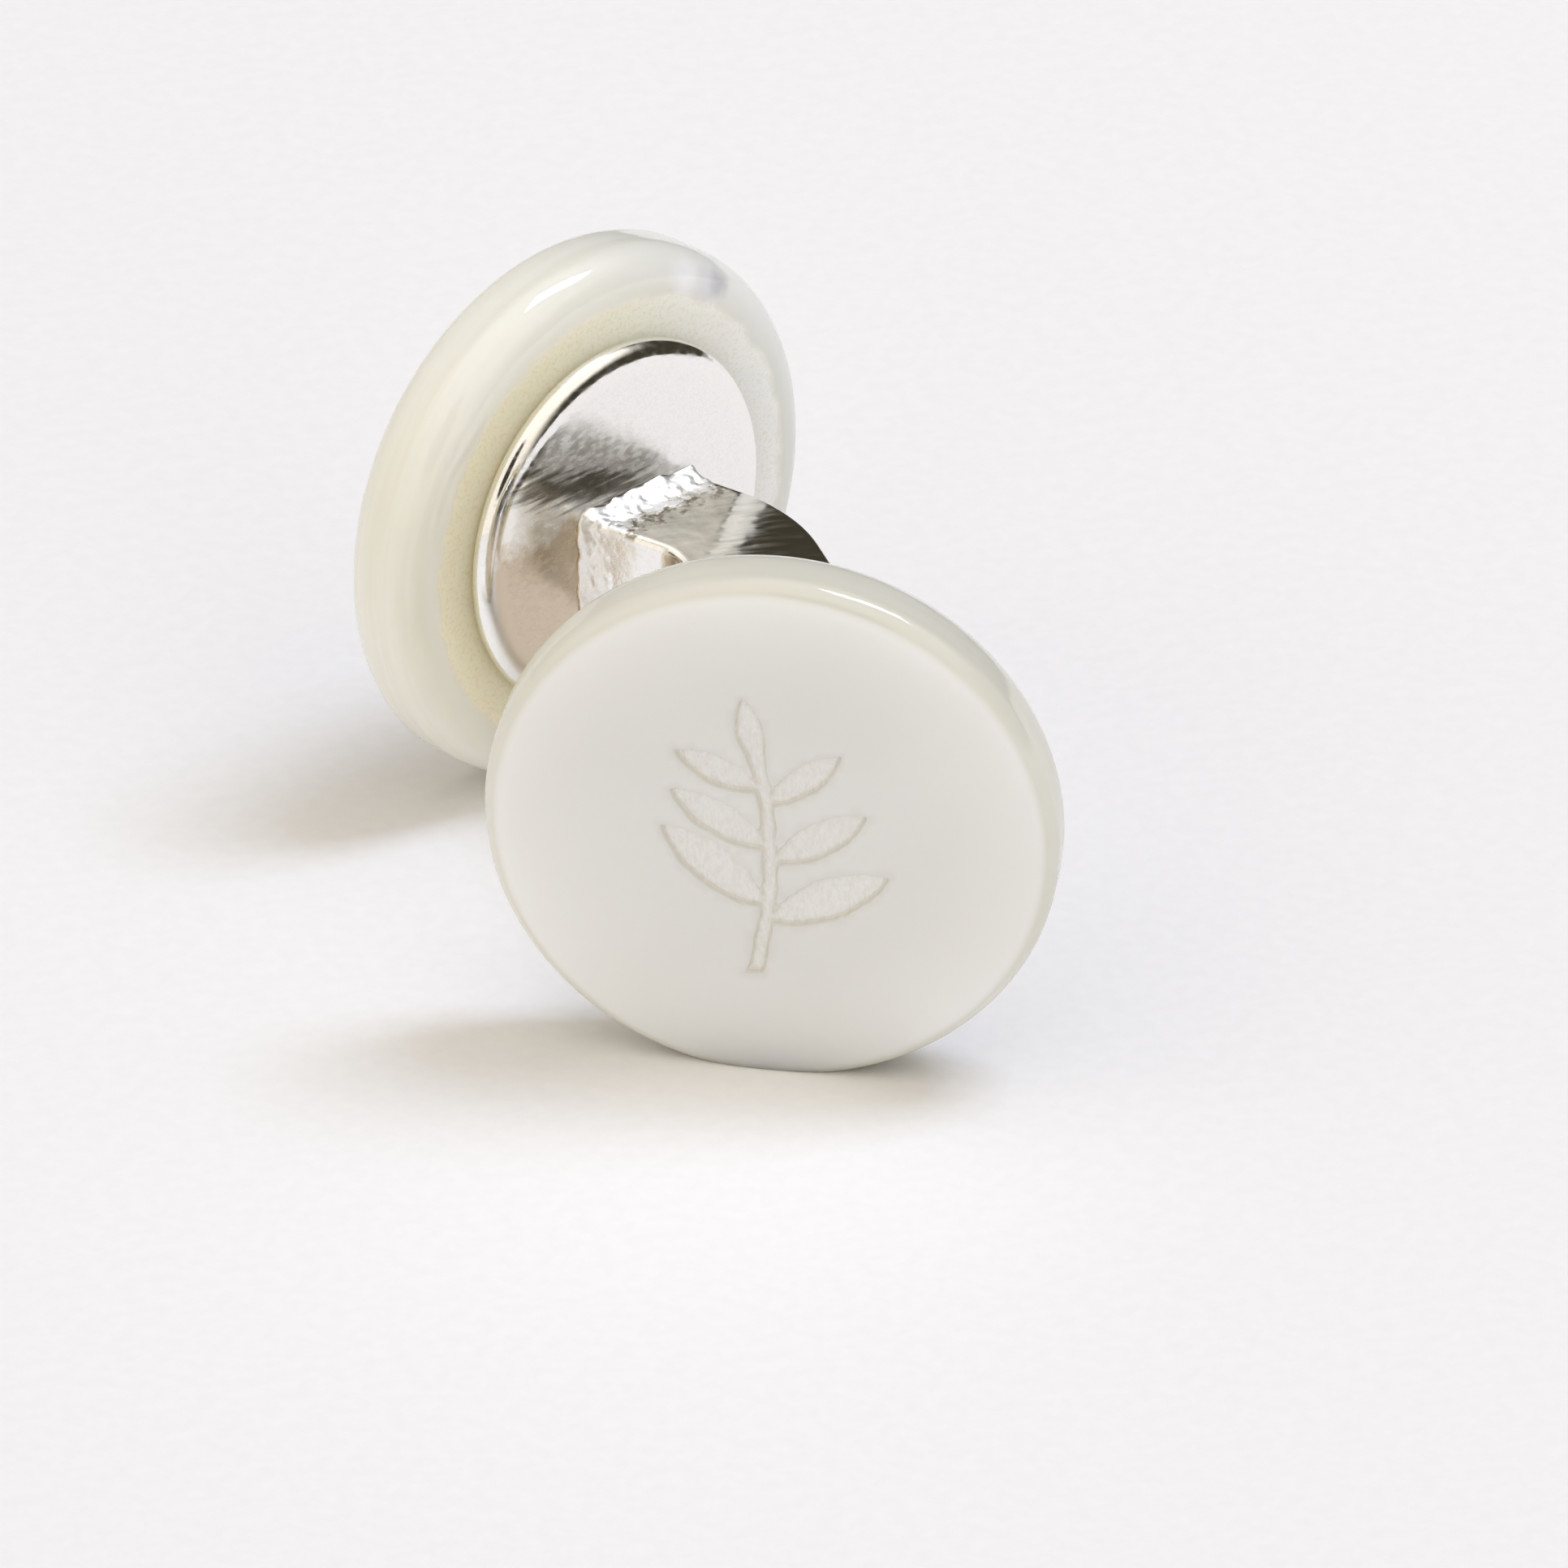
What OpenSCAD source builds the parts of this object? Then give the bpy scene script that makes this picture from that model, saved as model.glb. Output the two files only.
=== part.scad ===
// Double-faced cufflink: two mother-of-pearl discs on a rigid bent silver bar.
// It stands on the rims of both discs, with the bar's bend to the +X side.
// The front disc is the one at -Y. All sizes are in millimetres.

/* [Discs] */
// Diameter of each disc
disc_d = 14; // [13:0.5:18]
// Thickness of each disc
disc_t = 2.2; // [2.0:0.1:3]
// Rounding between a disc's outer face and its rim
face_round = 0.55; // [0.3:0.05:0.8]
// Rounding between a disc's back and its rim
back_round = 1; // [0.6:0.05:1.1]
// Distance between the centres of the two discs
disc_spacing = 15.8; // [15:0.1:20]
// Angle between a disc's axis and the line through both centres
splay = 26.7; // [20:0.1:30]
// Turn of both discs about the line through their centres, which lifts the bend's side
disc_roll = 5; // [0:0.5:6]
// Depth of the small flat on each rim that the cufflink stands on
rest_flat = 0.25; // [0.2:0.01:0.3]

/* [Engraving] */
// Depth of the engraved sprig
engrave_depth = 0.15; // [0.1:0.01:0.25]
// Height of the sprig on the face
sprig_h = 7.8; // [6:0.1:8]
// Radius of the stem's gentle curve
stem_bend = 13; // [9:1:40]
// Width of the stem's cut
stem_w = 0.4; // [0.3:0.02:0.6]
// Length of the lowest leaves
leaf_l = 3.4; // [2.4:0.1:3.4]
// Width of the lowest leaves
leaf_w = 1.15; // [0.8:0.05:1.2]
// Angle between a leaf and the stem
leaf_angle = 56; // [45:1:62]
// Number of leaf pairs along the stem
leaf_pairs = 3; // [2:1:3]
// Size of each leaf pair against the pair below it
leaf_taper = 0.85; // [0.8:0.01:0.95]

/* [Back plates] */
// Diameter of each back plate
plate_d = 9.6; // [9:0.1:10]
// Thickness of each back plate
plate_t = 0.5; // [0.46:0.02:0.8]
// Rounding of a back plate's inner edge
plate_round = 0.4; // [0.2:0.02:0.42]
// Gap for the cement between a disc and its plate
cement_gap = 0.03; // [0.02:0.01:0.05]

/* [Bar] */
// Width of the bar, across its bend
bar_w = 3.6; // [3:0.1:3.8]
// Height of the bar when the cufflink stands
bar_h = 2.5; // [2:0.1:3]
// Height of the bar's top over the discs' centres
bar_top = 0.76; // [0.7:0.02:1.4]
// Bevel along the bar's four edges
bar_bevel = 0.18; // [0.12:0.01:0.4]
// Angle between the bar's ends and the line through both discs
leg_angle = 38.6; // [34:0.1:42]
// Length of each straight end of the bar
leg_l = 1.8; // [1.5:0.1:2.2]
// Shift of each end's foot on its plate, towards the side that the bar bends to
leg_shift = 0.4; // [0:0.1:0.6]
// Radius of the bends along the middle of the bar
bend_r = 3.2; // [2.6:0.1:3.6]

/* [Hidden] */
$fn = 96;
disc_r = disc_d / 2;
plate_face = disc_t / 2 + cement_gap + plate_t;
// Parts of a disc's axis along X and downwards
axis_x = sin(splay) * cos(disc_roll);
axis_down = sin(splay) * sin(disc_roll);
stand_h = reach(axis_down, face_round) - rest_flat;
// Half the difference between the discs' reaches to each side centres them over the origin
centre_x = (reach(axis_x, face_round) - reach(axis_x, back_round)) / 2;
// Where the rear end of the bar stands on its plate's inner face
seat_x = plate_face * axis_x + leg_shift * cos(splay);
seat_y = disc_spacing / 2 - plate_face * cos(splay) + leg_shift * sin(splay);
// End of the straight leg that starts there, and the centre of the bend that follows
leg_end_x = seat_x + leg_l * sin(leg_angle);
leg_end_y = seat_y - leg_l * cos(leg_angle);
bend_x = leg_end_x - bend_r * cos(leg_angle);
bend_y = leg_end_y - bend_r * sin(leg_angle);
// The bar's ends are cut off inside the plates, this far from the discs' middles
end_cut = disc_t / 2 + cement_gap + plate_t / 2;
sprig_top = sprig_h / 2 - leaf_l * pow(leaf_taper, leaf_pairs);
sprig_foot = -sprig_h / 2;
// Cutting solids reach this far past what they cut
past = 1;
// Each bend runs this angle into the straights beside it, and lies this deep inside them
bend_lap = 1;
bend_inset = 0.01;

// Reach of a disc's rounded edge in a direction, given how much of the disc's axis lies in it
function reach(axis_part, edge_round) =
    (disc_r - edge_round) * sqrt(1 - axis_part * axis_part)
    + (disc_t / 2 - edge_round) * axis_part + edge_round;

// Half of a disc's section, to be turned round the disc's axis, with its outer face upwards
module disc_section() {
    translate([0, -disc_t / 2])
        square([disc_r - back_round, disc_t]);
    translate([0, back_round - disc_t / 2])
        square([disc_r - face_round, disc_t - back_round]);
    translate([0, back_round - disc_t / 2])
        square([disc_r, disc_t - back_round - face_round]);
    translate([disc_r - face_round, disc_t / 2 - face_round])
        circle(face_round);
    translate([disc_r - back_round, back_round - disc_t / 2])
        circle(back_round);
}

module plain_disc() {
    rotate_extrude()
        intersection() {
            disc_section();
            translate([0, -disc_t])
                square([disc_d, 2 * disc_t]);
        }
}

// A pointed leaf along +Y, from the origin
module leaf(length, width) {
    edge_r = (length * length + width * width) / (4 * width);
    intersection() {
        translate([edge_r - width / 2, length / 2])
            circle(edge_r);
        translate([width / 2 - edge_r, length / 2])
            circle(edge_r);
    }
}

// Moves its children to a height along the stem's curve
module on_stem(height) {
    translate([-stem_bend, 0])
        rotate(height / stem_bend * 180 / PI)
            translate([stem_bend, 0])
                children();
}

module stem() {
    intersection() {
        translate([-stem_bend, 0])
            difference() {
                circle(stem_bend + stem_w / 2);
                circle(stem_bend - stem_w / 2);
            }
        translate([-stem_bend, sprig_foot])
            square([2 * stem_bend, sprig_top - sprig_foot + stem_w]);
    }
}

module sprig() {
    stem();
    pair_step = (sprig_top - sprig_foot) / (leaf_pairs + 0.5);
    for (i = [0 : leaf_pairs - 1])
        for (side = [-1, 1]) {
            size = pow(leaf_taper, i);
            on_stem(sprig_foot + (i + 1 + side * 0.12) * pair_step)
                rotate(side * leaf_angle)
                    leaf(leaf_l * size, leaf_w * size);
        }
    on_stem(sprig_top)
        leaf(leaf_l * pow(leaf_taper, leaf_pairs), leaf_w * pow(leaf_taper, leaf_pairs));
}

// Puts its children on the front (-1) or rear (1) disc's centre, outer face outwards
module at_disc(side) {
    translate([centre_x, side * disc_spacing / 2, stand_h])
        rotate([0, -disc_roll, 0])
            rotate([90, 0, side > 0 ? 180 + splay : -splay])
                children();
}

// Takes away what would reach below the surface that the cufflink stands on
module stood_on_flat() {
    difference() {
        children();
        translate([-disc_d, -disc_spacing, -past])
            cube([2 * disc_d, 2 * disc_spacing, past]);
    }
}

module front_disc() {
    color("#e4e2de")
        stood_on_flat()
            at_disc(-1)
                difference() {
                    plain_disc();
                    translate([0, 0, disc_t / 2 - engrave_depth])
                        linear_extrude(engrave_depth + past)
                            sprig();
                }
}

module rear_disc() {
    color("#dedbcf")
        stood_on_flat()
            at_disc(1)
                plain_disc();
}

// A round back plate under a disc, with its inner edge rounded
module back_plate() {
    plate_r = plate_d / 2;
    translate([0, 0, -plate_face])
        rotate_extrude() {
            translate([0, plate_round])
                square([plate_r, plate_t - plate_round]);
            square([plate_r - plate_round, plate_t]);
            intersection() {
                translate([plate_r - plate_round, plate_round])
                    circle(plate_round);
                square([plate_r, plate_t]);
            }
        }
}

// The bar's bevelled section: X across the bend, Y up when the cufflink stands
module bar_section(inset = 0) {
    w = bar_w / 2 - inset;
    h = bar_h / 2 - inset;
    b = bar_bevel;
    polygon([
        [w - b, -h], [w, b - h], [w, h - b], [w - b, h],
        [b - w, h], [-w, h - b], [-w, b - h], [b - w, -h]
    ]);
}

// Half of the bar, from the middle to the rear plate
module half_bar() {
    translate([bend_x, bend_y]) {
        rotate([90, 0, 0])
            translate([bend_r, 0])
                linear_extrude(bend_y)
                    bar_section();
        rotate([0, 0, -bend_lap])
            rotate_extrude(angle = leg_angle + 2 * bend_lap)
                translate([bend_r, 0])
                    bar_section(bend_inset);
        rotate([-90, 0, leg_angle])
            translate([bend_r, 0])
                linear_extrude(leg_l + 2 * past)
                    bar_section();
    }
}

// The whole bar, with its ends cut off inside the back plates
module bar() {
    difference() {
        translate([centre_x, 0, stand_h + bar_top - bar_h / 2]) {
            half_bar();
            mirror([0, 1, 0])
                half_bar();
        }
        for (side = [-1, 1])
            at_disc(side)
                translate([0, 0, -end_cut])
                    cylinder(h = disc_t + 2 * past, r = disc_r);
    }
}

module silver_link() {
    color("#c9c8c5") {
        for (side = [-1, 1])
            at_disc(side)
                back_plate();
        bar();
    }
}

front_disc();
rear_disc();
silver_link();
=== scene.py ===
"""A double-faced cufflink on white paper: two mother-of-pearl discs on a bent silver bar."""
import math

import bmesh
import bpy
import numpy as np
from mathutils import Matrix, Vector, noise
from mathutils.geometry import delaunay_2d_cdt


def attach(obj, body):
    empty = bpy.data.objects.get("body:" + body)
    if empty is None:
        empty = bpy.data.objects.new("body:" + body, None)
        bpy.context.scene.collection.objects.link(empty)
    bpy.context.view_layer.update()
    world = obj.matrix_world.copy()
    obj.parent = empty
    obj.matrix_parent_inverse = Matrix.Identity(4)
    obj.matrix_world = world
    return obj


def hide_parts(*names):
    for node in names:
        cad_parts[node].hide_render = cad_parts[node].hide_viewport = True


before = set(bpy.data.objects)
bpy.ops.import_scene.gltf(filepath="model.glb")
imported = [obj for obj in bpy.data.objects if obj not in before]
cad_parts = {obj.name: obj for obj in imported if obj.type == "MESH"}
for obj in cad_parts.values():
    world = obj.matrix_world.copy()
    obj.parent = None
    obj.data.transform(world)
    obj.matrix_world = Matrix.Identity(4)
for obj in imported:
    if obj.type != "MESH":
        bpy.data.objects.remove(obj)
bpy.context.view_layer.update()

# Sizes are in millimetres and angles in degrees, as in the part's source
MM = 0.001

# Discs
DISC_R = 7.0
DISC_T = 2.2
FACE_ROUND = 0.55
BACK_ROUND = 1.0
DISC_SPACING = 15.8
SPLAY = 26.7
DISC_ROLL = 5.0
REST_FLAT = 0.25
# How finely a disc is divided: steps round it and round its two edges, and the radii of the
# rings of points on its back and its plain face
DISC_STEPS = 360
BACK_ROUND_STEPS = 16
FACE_ROUND_STEPS = 12
BACK_RINGS = (0, 2, 4, 4.6, 5.2, 5.7)
FACE_RINGS = (5.5, 4, 2, 0)

# Engraved sprig
ENGRAVE_DEPTH = 0.15
SPRIG_H = 7.8
STEM_BEND = 13.0
STEM_W = 0.4
LEAF_L = 3.4
LEAF_W = 1.15
LEAF_ANGLE = 56.0
LEAF_PAIRS = 3
LEAF_TAPER = 0.85
LEAF_STAGGER = 0.12
# Rounding of a leaf's two tips, and of the corners between leaves and stem
TIP_BLEND = 0.08
LEAF_BLEND = 0.1

# How the engraving is cut by hand: the width of its sloping wall, the wobble of its edge and
# the unevenness of its floor. Each wave has its rates along X and Y, its start and its weight.
WALL_W = 0.07
EDGE_WOBBLE = 0.012
EDGE_WAVES = ((5.3, 2.1, 1, 1), (3.1, -6.7, 0, 1), (13, 11, 0, 0.6))
FLOOR_UNEVEN = 0.008
FLOOR_WAVES = ((17, 9, 0, 1), (7, -23, 0, 1))

# The engraved face's points follow the cut's edge on a fine grid, with a narrow band of faces
# on each side of the wall
GRID_REACH = 5
GRID_STEP = 0.05
WALL_BAND = 0.02
# Elsewhere on the face they are scattered. Each row has their spacing, and the nearest and
# farthest distance from the cut's edge.
SCATTERED_POINTS = ((0.09, -math.inf, -WALL_W - 0.06), (0.22, 0.08, 0.52), (0.6, 0.55, math.inf))
SCATTER = 0.2
SCATTER_SEED = 7
RIM_MARGIN = 0.25

# Back plates
PLATE_R = 4.8
PLATE_T = 0.5
PLATE_EDGE_W = 0.6
PLATE_EDGE_T = 0.4
PLATE_BEVEL = 0.04
CEMENT_GAP = 0.03
PLATE_FACE = DISC_T / 2 + CEMENT_GAP + PLATE_T
# Steps round a plate, the spacing of the rings on its inner face, the angle between the rings on
# its rounded edge, and the one ring on its outer face
PLATE_STEPS = 240
PLATE_RING_STEP = 0.25
PLATE_EDGE_STEP = 6
PLATE_OUTER_RING = 2

# Bar
BAR_W = 3.6
BAR_H = 2.5
BAR_TOP = 0.76
BAR_MID = BAR_TOP - BAR_H / 2
BAR_BEVEL = 0.18
LEG_ANGLE = 38.6
LEG_L = 1.8
LEG_SHIFT = 0.4
BEND_R = 3.2
# How the bar is divided: the finely divided length of a leg near the plate and the sections there,
# the sections on the rest of the leg and where they begin, the sections round a bend, and the
# steps along a bevel and along each side
NEAR_PLATE_L = 0.8
NEAR_PLATE_SECTIONS = 36
LEG_SECTIONS = 12
LEG_SECTIONS_FROM = 0.84
BEND_SECTIONS = 24
BEVEL_STEPS = 5
WIDE_SIDE_STEPS = 48
NARROW_SIDE_STEPS = 32

# Near the plate a leg's sections lie parallel to it. They turn square to the bar over the first of
# these lengths, and stay so along the second, up to the bend.
TURN_L = 1.0
SQUARE_L = 0.1

# Collar of solder round each foot of the bar: its reach along the bar, and how far it widens it
SOLDER_L = 0.7
SOLDER_W = 0.26
# How hollow the collar's slope is
SOLDER_CURVE = 1.6
# Its rough edge and lumps. Each row has a noise's scale and its weight.
SOLDER_EDGE_NOISE = ((2.1, 0.5), (6.3, 0.3))
SOLDER_LUMP_NOISE = ((2.7, 0.4), (15, 0.05))


def sin(degrees):
    return math.sin(math.radians(degrees))


def cos(degrees):
    return math.cos(math.radians(degrees))


def reach(axis_part, edge_round):
    """Reach of a disc's edge in a direction, given how much of the disc's axis lies in it."""
    return (
        (DISC_R - edge_round) * math.sqrt(1 - axis_part ** 2)
        + (DISC_T / 2 - edge_round) * axis_part + edge_round
    )


ROLL = Matrix.Rotation(math.radians(-DISC_ROLL), 3, "Y")
# The rear plate's inner face looks this way
PLATE_WAY = ROLL @ Vector((sin(SPLAY), -cos(SPLAY), 0))
# The point midway between the discs' centres
STAND_H = reach(PLATE_WAY.z, FACE_ROUND) - REST_FLAT
CENTRE_X = (reach(PLATE_WAY.x, FACE_ROUND) - reach(PLATE_WAY.x, BACK_ROUND)) / 2
MIDDLE = Vector((CENTRE_X, 0, STAND_H))
# From here on, points are measured from the middle: the centre of the rear plate's inner face,
# the foot of the leg that stands on it and its width, the leg's end and the centre of the bend
PLATE_AT = Vector((0, DISC_SPACING / 2, 0)) + PLATE_WAY * PLATE_FACE
FOOT = PLATE_AT.xy + LEG_SHIFT * Vector((cos(SPLAY), sin(SPLAY)))
FOOT_W = BAR_W / cos(LEG_ANGLE - SPLAY)
LEG_WAY = Vector((sin(LEG_ANGLE), -cos(LEG_ANGLE)))
LEG_END = FOOT + LEG_L * LEG_WAY
BEND = LEG_END - BEND_R * Vector((cos(LEG_ANGLE), sin(LEG_ANGLE)))


def disc_place(side):
    """The front (-1) or rear (1) disc's own frame: Z out of its face, Y up, in metres."""
    turn = 180 + SPLAY if side > 0 else -SPLAY
    return (
        Matrix.Translation((MIDDLE + Vector((0, side * DISC_SPACING / 2, 0))) * MM)
        @ ROLL.to_4x4()
        @ Matrix.Rotation(math.radians(turn), 4, "Z")
        @ Matrix.Rotation(math.radians(90), 4, "X")
    )


# Meshes

def arc(centre, radius, start, end, steps):
    """Points along an arc, from one angle to another."""
    angles = [start + (end - start) * i / steps for i in range(steps + 1)]
    return [(centre[0] + radius * cos(a), centre[1] + radius * sin(a)) for a in angles]


def revolve(profile, steps):
    """Vertices and faces of a profile of (radius, height) turned round Z."""
    verts, faces, rings = [], [], []
    for radius, height in profile:
        count = steps if radius > 0 else 1
        rings.append(range(len(verts), len(verts) + count))
        for i in range(count):
            angle = 360 * i / steps
            verts.append((radius * cos(angle), radius * sin(angle), height))
    for low, high in zip(rings, rings[1:]):
        for i in range(steps):
            j = (i + 1) % steps
            corners = (low[i % len(low)], low[j % len(low)], high[j % len(high)], high[i % len(high)])
            faces.append(tuple(dict.fromkeys(corners)))
    return verts, faces


# Distance in metres at which doubled vertices are merged, and the angle of a sharp edge, as a
# rule and in the silver link
MERGE = 1e-7
LINK_MERGE = 2e-6
SHARP = 40
LINK_SHARP = 35


def clean_mesh(mesh, merge=MERGE):
    """Merges doubled vertices and turns every face outwards."""
    bm = bmesh.new()
    bm.from_mesh(mesh)
    bmesh.ops.remove_doubles(bm, verts=bm.verts, dist=merge)
    bmesh.ops.dissolve_degenerate(bm, edges=bm.edges, dist=merge)
    bmesh.ops.recalc_face_normals(bm, faces=bm.faces)
    bm.to_mesh(mesh)
    bm.free()


def make_object(name, verts, faces):
    """A smooth-shaded object from vertices in millimetres."""
    mesh = bpy.data.meshes.new(name)
    mesh.from_pydata([Vector(v) * MM for v in verts], [], faces)
    clean_mesh(mesh)
    mesh.shade_smooth()
    mesh.set_sharp_from_angle(angle=math.radians(SHARP))
    thing = bpy.data.objects.new(name, mesh)
    bpy.context.scene.collection.objects.link(thing)
    return thing


# Engraving

def smooth_min(a, b, blend):
    """The lower of two distances, with the corner between them rounded."""
    near = np.maximum(blend - np.abs(a - b), 0) / blend
    return np.minimum(a, b) - near * near * blend / 4


def leaf_distance(x, y, length, width):
    """Distance from the edge of a pointed leaf that grows along +Y, negative inside."""
    edge_r = (length ** 2 + width ** 2) / (4 * width)
    shift = edge_r - width / 2
    left = np.hypot(x - shift, y - length / 2)
    right = np.hypot(x + shift, y - length / 2)
    return -smooth_min(-left, -right, TIP_BLEND) - edge_r


def from_stem(x, y, height, turn):
    """Points as seen from a height on the stem's curve, turned by an angle."""
    lean = height / STEM_BEND
    u = x + STEM_BEND
    x1 = u * math.cos(lean) + y * math.sin(lean) - STEM_BEND
    y1 = y * math.cos(lean) - u * math.sin(lean)
    return x1 * cos(turn) + y1 * sin(turn), y1 * cos(turn) - x1 * sin(turn)


def waves(x, y, rows):
    """The sum of some sine waves over the face."""
    return sum(weight * np.sin(along * x + up * y + start) for along, up, start, weight in rows)


def sprig_distance(x, y):
    """Distance from the edge of the sprig, negative inside, with the wobble of a hand's cut."""
    foot = -SPRIG_H / 2
    top = SPRIG_H / 2 - LEAF_L * LEAF_TAPER ** LEAF_PAIRS
    step = (top - foot) / (LEAF_PAIRS + 0.5)
    stem = np.abs(np.hypot(x + STEM_BEND, y) - STEM_BEND) - STEM_W / 2
    distance = np.maximum(stem, np.maximum(foot - y, y - top - STEM_W))
    leaves = [(top, 0, LEAF_PAIRS)]
    for pair in range(LEAF_PAIRS):
        for side in (-1, 1):
            leaves.append((foot + (pair + 1 + side * LEAF_STAGGER) * step, side * LEAF_ANGLE, pair))
    for height, turn, rank in leaves:
        size = LEAF_TAPER ** rank
        leaf = leaf_distance(*from_stem(x, y, height, turn), LEAF_L * size, LEAF_W * size)
        distance = smooth_min(distance, leaf, LEAF_BLEND)
    return distance + EDGE_WOBBLE * waves(x, y, EDGE_WAVES)


def contour(values, xs, ys, level):
    """Points and segments where a grid of values crosses a level."""
    above = values > level
    points, numbers, segments = [], {}, []

    def crossing(a, b):
        if (a, b) not in numbers:
            share = (level - values[a]) / (values[b] - values[a])
            numbers[a, b] = len(points)
            points.append((
                xs[a[0]] + share * (xs[b[0]] - xs[a[0]]),
                ys[a[1]] + share * (ys[b[1]] - ys[a[1]]),
            ))
        return numbers[a, b]

    count = above[:-1, :-1] + above[1:, :-1].astype(int) + above[:-1, 1:] + above[1:, 1:]
    for i, j in np.argwhere((count > 0) & (count < 4)).tolist():
        corners = [(i, j), (i + 1, j), (i + 1, j + 1), (i, j + 1)]
        sides = [(0, 1), (1, 2), (3, 2), (0, 3)]
        cuts = [
            crossing(corners[a], corners[b])
            for a, b in sides if above[corners[a]] != above[corners[b]]
        ]
        segments += [cuts[k:k + 2] for k in range(0, len(cuts), 2)]
    return points, segments


def scattered_points(step, nearest, farthest):
    """A slightly scattered grid of points on the face, at some distances from the cut's edge."""
    draw = np.random.default_rng(SCATTER_SEED)
    line = np.arange(-DISC_R, DISC_R, step)
    x, y = (
        a.ravel() + draw.uniform(-SCATTER, SCATTER, a.size) * step for a in np.meshgrid(line, line)
    )
    distance = sprig_distance(x, y)
    on_face = np.hypot(x, y) < DISC_R - FACE_ROUND - RIM_MARGIN
    kept = (distance > nearest) & (distance < farthest) & on_face
    return list(zip(x[kept], y[kept]))


def engraved_face():
    """The front face: flat, with the sprig cut into it. The rim's points match the turned part."""
    face_r = DISC_R - FACE_ROUND
    points = [
        (face_r * cos(360 * i / DISC_STEPS), face_r * sin(360 * i / DISC_STEPS))
        for i in range(DISC_STEPS)
    ]
    edges = [(i, (i + 1) % DISC_STEPS) for i in range(DISC_STEPS)]
    line = np.arange(-GRID_REACH, GRID_REACH, GRID_STEP)
    grid = sprig_distance(*np.meshgrid(line, line, indexing="ij"))
    for level in (WALL_BAND, 0, -WALL_W, -WALL_W - WALL_BAND):
        found, segments = contour(grid, line, line, level)
        edges += [(a + len(points), b + len(points)) for a, b in segments]
        points += found
    for step, nearest, farthest in SCATTERED_POINTS:
        points += scattered_points(step, nearest, farthest)
    flat, _, faces, *_ = delaunay_2d_cdt([Vector(p) for p in points], edges, [], 0, 1e-6)
    x, y = np.array(flat).T
    cut = np.clip(-sprig_distance(x, y) / WALL_W, 0, 1)
    height = DISC_T / 2 - ENGRAVE_DEPTH * cut + FLOOR_UNEVEN * cut * waves(x, y, FLOOR_WAVES)
    return list(zip(x, y, height)), faces


# Pearl discs

def disc_profile():
    """The section of a disc from the middle of its back to the edge of its face."""
    half = DISC_T / 2
    back = [(r, -half) for r in BACK_RINGS]
    back_centre = (DISC_R - BACK_ROUND, BACK_ROUND - half)
    face_centre = (DISC_R - FACE_ROUND, half - FACE_ROUND)
    back_edge = arc(back_centre, BACK_ROUND, -90, 0, BACK_ROUND_STEPS)
    face_edge = arc(face_centre, FACE_ROUND, 0, 90, FACE_ROUND_STEPS)
    return back + back_edge + face_edge


def make_disc(name, side, engraved):
    """A disc in its place, with the small flat that it stands on."""
    face = [] if engraved else [(r, DISC_T / 2) for r in FACE_RINGS]
    verts, faces = revolve(disc_profile() + face, DISC_STEPS)
    if engraved:
        more_verts, more_faces = engraved_face()
        faces += [tuple(i + len(verts) for i in f) for f in more_faces]
        verts += more_verts
    disc = make_object(name, verts, faces)
    if engraved:
        mark_engraving(disc)
    disc.data.transform(disc_place(side))
    for vertex in disc.data.vertices:
        vertex.co.z = max(vertex.co.z, 0)
    return disc


def mark_engraving(disc):
    """Stores how deep each vertex is cut, and how near it is to the edge of the cut."""
    co = np.array([v.co for v in disc.data.vertices]) / MM
    distance = sprig_distance(co[:, 0], co[:, 1])
    # The floor is uneven, so the face reaches a little deeper than the engraving
    on_face = co[:, 2] > DISC_T / 2 - 1.6 * ENGRAVE_DEPTH
    floor = on_face * np.clip(-distance / WALL_W, 0, 1)
    edge = on_face * np.clip(1 - np.abs(distance + WALL_W / 2) / WALL_W, 0, 1)
    for name, values in (("engraved", floor), ("cut_edge", edge)):
        store = disc.data.attributes.new(name, "FLOAT", "POINT")
        store.data.foreach_set("value", values.astype(np.float32))


# Silver link

def straight(start, end, steps):
    """Points between two corners, without the corners."""
    return [
        (start[0] + (end[0] - start[0]) * i / steps, start[1] + (end[1] - start[1]) * i / steps)
        for i in range(1, steps)
    ]


def bar_section():
    """The bar's section with rounded bevels: (across the bend, up)."""
    w, h, b = BAR_W / 2 - BAR_BEVEL, BAR_H / 2 - BAR_BEVEL, BAR_BEVEL
    corners = [
        arc((x, y), b, start, start + 90, BEVEL_STEPS)
        for x, y, start in ((w, h, 0), (-w, h, 90), (-w, -h, 180), (w, -h, 270))
    ]
    side_steps = (WIDE_SIDE_STEPS, NARROW_SIDE_STEPS) * 2
    section = []
    for corner, following, steps in zip(corners, corners[1:] + corners[:1], side_steps):
        section += corner + straight(corner[-1], following[0], steps)
    return section


def bar_stations():
    """Each section's centre, sideways direction and share of slant, from the plate to the middle."""
    side = Vector((cos(LEG_ANGLE), sin(LEG_ANGLE)))
    near_plate = np.linspace(-PLATE_T / 2, NEAR_PLATE_L, NEAR_PLATE_SECTIONS)
    rest_of_leg = np.linspace(LEG_SECTIONS_FROM, LEG_L, LEG_SECTIONS)
    stations = []
    for along in np.concatenate([near_plate, rest_of_leg]):
        slant = min(max((LEG_L - SQUARE_L - along) / TURN_L, 0), 1)
        stations.append((FOOT + LEG_WAY * along, side, slant))
    for i in range(1, BEND_SECTIONS + 1):
        angle = LEG_ANGLE * (1 - i / BEND_SECTIONS)
        side = Vector((cos(angle), sin(angle)))
        stations.append((BEND + side * BEND_R, side, 0))
    for share in (0.75, 0.5, 0.25, 0):
        stations.append((Vector((BEND.x + BEND_R, BEND.y * share)), side, 0))
    return stations


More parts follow.
